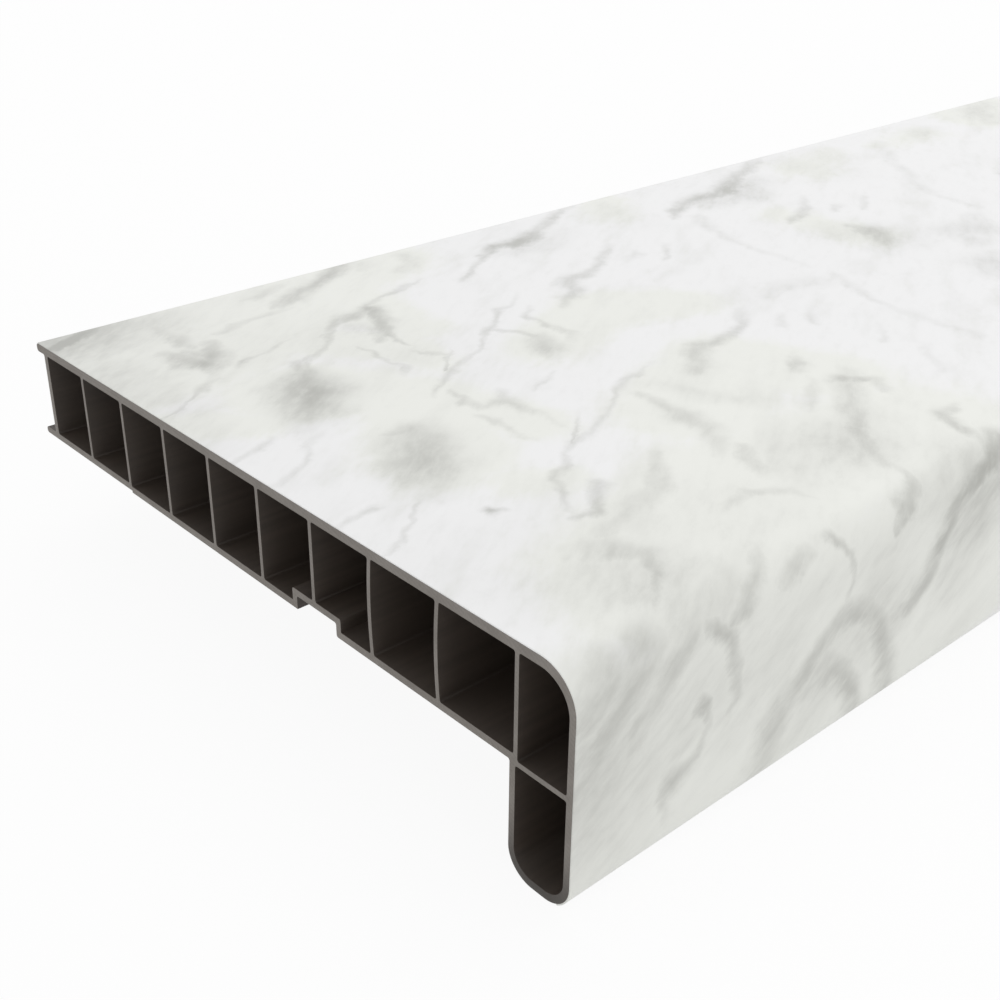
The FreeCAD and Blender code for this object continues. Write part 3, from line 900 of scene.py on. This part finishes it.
def segments_in(strokes, spread, zone):
    """Segments of the strokes that can reach a zone, also over the repeat's seam."""
    low_along, high_along, low_round, high_round = zone
    found = []
    for stroke in strokes:
        for start, end in zip(stroke, stroke[1:]):
            reach = min(spread, REACH_SPREAD) * max(start[2], end[2]) + WARP_REACH
            if max(start[1], end[1]) + reach < low_round or min(start[1], end[1]) - reach > high_round:
                continue
            for shift in (-FILM_REPEAT, 0.0, FILM_REPEAT):
                low = min(start[0], end[0]) + shift - reach
                high = max(start[0], end[0]) + shift + reach
                if low <= high_along and high >= low_along:
                    found.append(((start[0] + shift, *start[1:]), (end[0] + shift, *end[1:])))
    return found


def segment_values(start, end, spread):
    """What the node group needs for one segment, in the order of its inputs."""
    run_along, run_round = end[0] - start[0], end[1] - start[1]
    squared = run_along ** 2 + run_round ** 2
    tightness, end_tightness = [-1.0 / (spread * point[2]) ** 2 for point in (start, end)]
    strength, end_strength = start[3] / 100.0, end[3] / 100.0
    return (start[0], start[1], run_along / squared, run_round / squared, -run_along, -run_round,
            end_tightness - tightness, tightness, end_strength - strength, strength)


def zone_group(name, three_segments, segments, spread):
    """Node group that gives the strongest mark of the segments at a place, three of them to a node."""
    inputs = {"Along": "Vector", "Round": "Vector"}
    nodes = new_group(name, "ShaderNodeTree", inputs, {"Mark": "Float"})
    given = nodes.add("NodeGroupInput").outputs
    columns = [segment_values(start, end, spread) for start, end in segments]
    while not columns or len(columns) % 3:
        columns.append(NO_SEGMENT)
    marks = NONE
    for first in range(0, len(columns), 3):
        values = {"Along": given["Along"], "Round": given["Round"], "Earlier": marks}
        values.update(enumerate(zip(*columns[first:first + 3]), start=len(values)))
        marks = nodes.signal("ShaderNodeGroup", {"node_tree": three_segments}, values)
    one, two, three = nodes.parts(marks)
    nodes.add("NodeGroupOutput", {}, {"Mark": one.most(two).most(three)})
    return nodes.tree


# Materials

def film_material(finish):
    """White marbled film: cream clouds, grey strokes, a band of painted shade along the nose's rounding,
    and fine veins under a satin face.
    """
    nodes = Nodes(bpy.data.materials.new("marbled_film"))
    three_segments = three_segments_group()
    strokes = with_hidden_copies(STROKES, HIDDEN_WIDEST_STROKE)
    clouds = with_hidden_copies(CLOUDS, HIDDEN_WIDEST_CLOUD)
    place = nodes.scaled(nodes.signal("ShaderNodeUVMap", {"uv_map": "film_map"}), 1.0 / MILLIMETRE)
    lengthwise, round_edge = nodes.parts(place)[:2]
    wrapped = nodes.math("WRAP", lengthwise, FILM_SEAM + FILM_REPEAT, FILM_SEAM)

    fibre_place = nodes.mapped(place, FIBRE_STRETCH, STRAND_TURN, "TEXTURE")
    fibres = nodes.noise(fibre_place, detail=4.0, roughness=0.62)
    drift_place = nodes.mapped(place, DRIFT_STRETCH, STRAND_TURN, "TEXTURE")
    drift = nodes.noise(drift_place, detail=4.0, roughness=0.58)
    haze = drift.ramp(**DRIFT_HAZE) + fibres.ramp(**FIBRE_HAZE)
    ripple = nodes.noise(place, RIPPLE_SCALE, detail=4.0, roughness=0.60, output="Color")
    strand = (math.cos(STRAND_TURN), math.sin(STRAND_TURN), 0.0)
    strand_shift = nodes.scaled(strand, (fibres - 0.5) * STRAND_SHIFT)
    ripple_shift = nodes.scaled(nodes.vector("SUBTRACT", ripple, MIDDLE), RIPPLE_SHIFT)
    shift_along, shift_round = nodes.parts(nodes.vector("ADD", ripple_shift, strand_shift))[:2]
    along = nodes.thrice(wrapped + shift_along)
    across = nodes.thrice(round_edge + shift_round)
    grain = nodes.noise(place, GRAIN_SCALE, detail=1.0)
    roughness = finish.film_roughness + GRAIN_ROUGHNESS_SPREAD * (grain - 0.5)
    normal = nodes.bump(grain, strength=0.05, distance=0.1)

    def laid(name, marks, spread, zone):
        group = zone_group(name, three_segments, segments_in(marks, spread, zone), spread)
        return nodes.signal("ShaderNodeGroup", {"node_tree": group}, {"Along": along, "Round": across})

    def zone_surface(zone):
        name = "_at_{:.0f}_{:.0f}".format(zone[1], zone[3])
        smoke = laid("smoke" + name, strokes, STROKE_SPREAD, zone)
        cloud = laid("cloud" + name, clouds, CLOUD_SPREAD, zone)
        broken = cloud + DRIFT_IN_CREAM * (drift - 0.5) + FIBRES_IN_CREAM * (fibres - 0.5)
        cream = broken.ramp(**CREAM_LEVELS)
        ground = nodes.mix(cream, tuple(finish.film_white), tuple(finish.film_cream))
        feather = (fibres + SMOKE_IN_FEATHER * smoke).ramp(**FEATHER_LEVELS)
        grey = (smoke * feather + haze).least(1.0)
        colour = nodes.mix(grey, ground, tuple(finish.film_smoke))
        return nodes.plastic(colour, roughness, normal, ior=1.46)

    surface = None
    for low_round, high_round, limits in ZONE_BANDS:
        band = None
        start = FILM_SEAM
        for limit in limits:
            part = zone_surface((start, limit, low_round, high_round))
            past = nodes.math("GREATER_THAN", wrapped, start)
            band = nodes.either(past, band, part) if band else part
            start = limit
        past = nodes.math("GREATER_THAN", round_edge, low_round)
        surface = nodes.either(past, surface, band) if surface else band
    return nodes.finish(surface)


def skin_material(finish):
    """Brown extruded plastic with faint die lines along the board."""
    nodes = Nodes(bpy.data.materials.new("brown_plastic_skin"))
    place = nodes.add("ShaderNodeTexCoord").outputs["Object"]
    lines = nodes.noise(nodes.mapped(place, DIE_LINE_STRETCH), detail=3.0, roughness=0.6)
    mottle = nodes.noise(place, SKIN_MOTTLE_SCALE, detail=3.0)
    brown = Vector(finish.skin_brown)
    tone = (0.65 * lines + 0.35 * mottle).ramp(*TONE_LEVELS)
    colour = nodes.mix(tone, tuple(brown * SKIN_DARKEST), tuple(brown * SKIN_LIGHTEST))
    roughness = finish.skin_roughness + SKIN_ROUGHNESS_SPREAD * (lines - 0.5)
    normal = nodes.bump(lines, strength=0.25, distance=0.05)
    return nodes.finish(nodes.plastic(colour, roughness, normal, ior=1.5))


def sawn_material(finish):
    """Dull grey-brown sawn plastic with fine saw marks, and painted shade towards the foot."""
    nodes = Nodes(bpy.data.materials.new("sawn_plastic_end"))
    place = nodes.add("ShaderNodeTexCoord").outputs["Object"]
    across, up = nodes.parts(place)[1:]
    blotch = nodes.noise(place, SAWN_BLOTCH_SCALE, detail=4.0, roughness=0.6)
    fine = nodes.noise(place, SAWN_FINE_SCALE)
    from_saw_y = across - SAW_CENTRE[0]
    from_saw_z = up - SAW_CENTRE[1]
    arm = nodes.math("SQRT", from_saw_y * from_saw_y + from_saw_z * from_saw_z)
    marks = nodes.math("SINE", arm * SAW_MARK_PHASE + SAW_MARK_WOBBLE * blotch) * 0.5 + 0.5
    grey = Vector(finish.sawn_grey)
    height = (up - PROFILE_LOW.z) * (1.0 / NOSE_HEIGHT)
    # Painted shade: the sawn end's colour is darkened towards the foot of the nose, where the light falls
    # off
    painted_foot_shade = nodes.mix(height.ramp(*PAINTED_SHADE_HEIGHTS), tuple(grey * PAINTED_SHADE_SHARE), tuple(grey))
    tone = 0.62 * blotch + 0.3 * fine + 0.08 * marks
    worn = nodes.mix(tone.ramp(*TONE_LEVELS), SAWN_DARKEST, SAWN_LIGHTEST)
    colour = nodes.mix(1.0, painted_foot_shade, worn, "MULTIPLY")
    normal = nodes.bump(0.3 * marks + 0.7 * fine, strength=0.2, distance=0.05)
    return nodes.finish(nodes.plastic(colour, finish.sawn_roughness, normal, ior=1.5))


def floor_material(stage):
    """White floor for the camera that keeps a soft share of the object's shadow."""
    nodes = Nodes(bpy.data.materials.new("studio_floor"))
    matt = nodes.signal("ShaderNodeBsdfDiffuse", {}, {"Color": (*stage.floor_colour, 1.0)})
    glow = nodes.signal("ShaderNodeEmission", {}, {"Color": (*WHOLE, 1.0), "Strength": 1.0})
    return nodes.finish(nodes.either(nodes.rays_to_eye() * (1.0 - stage.shadow_depth), matt, glow))


# Stage

def sky(stage):
    """Even surroundings: plain light for the board, pure white to the camera, gloss and glass."""
    nodes = Nodes(bpy.data.worlds.new("studio_sky"))
    strength = stage.sky_strength + (1.0 - stage.sky_strength) * nodes.rays_to_eye()
    white = nodes.signal("ShaderNodeBackground", {}, {"Color": (*WHOLE, 1.0), "Strength": strength})
    return nodes.finish(white, "ShaderNodeOutputWorld")


def add_floor(stage):
    """Flat floor under the board."""
    corners = [(-FLOOR_HALF, -FLOOR_HALF), (FLOOR_HALF, -FLOOR_HALF),
               (FLOOR_HALF, FLOOR_HALF), (-FLOOR_HALF, FLOOR_HALF)]
    mesh = bpy.data.meshes.new("studio_floor")
    mesh.from_pydata([(x, y, PROFILE_LOW.z) for x, y in corners], [], [(0, 1, 2, 3)])
    mesh.materials.append(floor_material(stage))
    floor = bpy.data.objects.new("studio_floor", mesh)
    bpy.context.scene.collection.objects.link(floor)


def add_area_light(name, place, aim, size, power):
    """Square soft light that is turned towards a point; both are given from the near end's top."""
    near = Vector((NEAR_END, 0.0, NOSE_HEIGHT))
    lamp = bpy.data.lights.new(name, "AREA")
    lamp.shape = "SQUARE"
    lamp.size = size
    lamp.energy = power
    holder = bpy.data.objects.new(name, lamp)
    bpy.context.scene.collection.objects.link(holder)
    holder.location = near + Vector(place)
    holder.rotation_euler = (Vector(aim) - Vector(place)).to_track_quat("-Z", "Y").to_euler()


def add_camera(stage):
    """Camera at the photograph's viewing angle."""
    camera = bpy.data.objects.new("sill_camera", bpy.data.cameras.new("sill_camera"))
    camera.data.lens = stage.lens
    camera.data.clip_start = CAMERA_NEAREST
    bpy.context.scene.collection.objects.link(camera)
    heading, dip = stage.camera_heading, stage.camera_dip
    view = Vector((math.cos(dip) * math.cos(heading), math.cos(dip) * math.sin(heading), -math.sin(dip)))
    level = view.cross(Vector((0, 0, 1))).normalized()
    upward = level.cross(view)
    right = math.cos(stage.camera_roll) * level + math.sin(stage.camera_roll) * upward
    above = math.cos(stage.camera_roll) * upward - math.sin(stage.camera_roll) * level
    corner = Vector((NEAR_END, NOSE_FACE_Y, PROFILE_LOW.z + NOSE_HEIGHT))
    turn = Matrix((right, above, -view)).transposed().to_4x4()
    camera.matrix_world = Matrix.Translation(corner + Vector(stage.camera_place)) @ turn
    bpy.context.scene.camera = camera


# Operators

class SILL_OT_board(bpy.types.Operator):
    """Build the hollow extrusion of the board"""
    bl_idname = "sill.board"
    bl_label = "Sill profile"

    def execute(self, context):
        sizes = context.scene.sill_sizes
        finish = context.scene.sill_finish
        loops = Section(sizes).profile_loops()
        skin = skin_material(finish)
        sawn = sawn_material(finish)
        piece = extruded_piece("profile_extrusion", loops, skin, sawn, sizes.sawn_edge)
        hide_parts("sill_profile")
        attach(piece, "root")
        return {"FINISHED"}


class SILL_OT_film(bpy.types.Operator):
    """Laminate the marbled film over the top and the nose"""
    bl_idname = "sill.film"
    bl_label = "Decor film"

    def execute(self, context):
        sizes = context.scene.sill_sizes
        section = Section(sizes)
        marble = film_material(context.scene.sill_finish)
        edge = sizes.film_thickness * FILM_EDGE_SHARE
        piece = extruded_piece("marbled_film", section.film_loops(), marble, marble, edge)
        map_film(piece.data, section)
        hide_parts("decor_film")
        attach(piece, "root")
        return {"FINISHED"}


class SILL_OT_stage(bpy.types.Operator):
    """Add the floor, the studio light and the camera"""
    bl_idname = "sill.stage"
    bl_label = "Studio stage"

    def execute(self, context):
        stage = context.scene.sill_stage
        add_floor(stage)
        context.scene.world = sky(stage)
        add_area_light("key_light", *KEY_LIGHT, stage.key_power)
        add_area_light("fill_light", *FILL_LIGHT, stage.fill_power)
        add_camera(stage)
        return {"FINISHED"}


class SILL_PT_panel(bpy.types.Panel):
    """Sidebar panel of the sill board"""
    bl_label = "Sill board"
    bl_idname = "SILL_PT_panel"
    bl_space_type = "VIEW_3D"
    bl_region_type = "UI"
    bl_category = "Sill board"

    def draw(self, context):
        layout = self.layout
        for step in STEPS:
            layout.operator(step.bl_idname)
        for name, group in GROUPS.items():
            box = layout.box()
            for setting in group.__annotations__:
                box.prop(getattr(context.scene, name), setting)


STEPS = (SILL_OT_board, SILL_OT_film, SILL_OT_stage)
GROUPS = {"sill_sizes": SillSizes, "sill_finish": SillFinish, "sill_stage": SillStage}


def register():
    """Registers the classes and their settings."""
    for name, group in GROUPS.items():
        bpy.utils.register_class(group)
        setattr(bpy.types.Scene, name, bpy.props.PointerProperty(type=group))
    for step in STEPS:
        bpy.utils.register_class(step)
    bpy.utils.register_class(SILL_PT_panel)


def unregister():
    """Undoes register."""
    bpy.utils.unregister_class(SILL_PT_panel)
    for step in reversed(STEPS):
        bpy.utils.unregister_class(step)
    for name, group in GROUPS.items():
        delattr(bpy.types.Scene, name)
        bpy.utils.unregister_class(group)


def main():
    """Builds the board and its stage."""
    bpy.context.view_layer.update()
    register()
    bpy.context.scene.view_settings.view_transform = "Standard"
    bpy.ops.sill.board()
    bpy.ops.sill.film()
    bpy.ops.sill.stage()


if __name__ == "__main__":
    main()
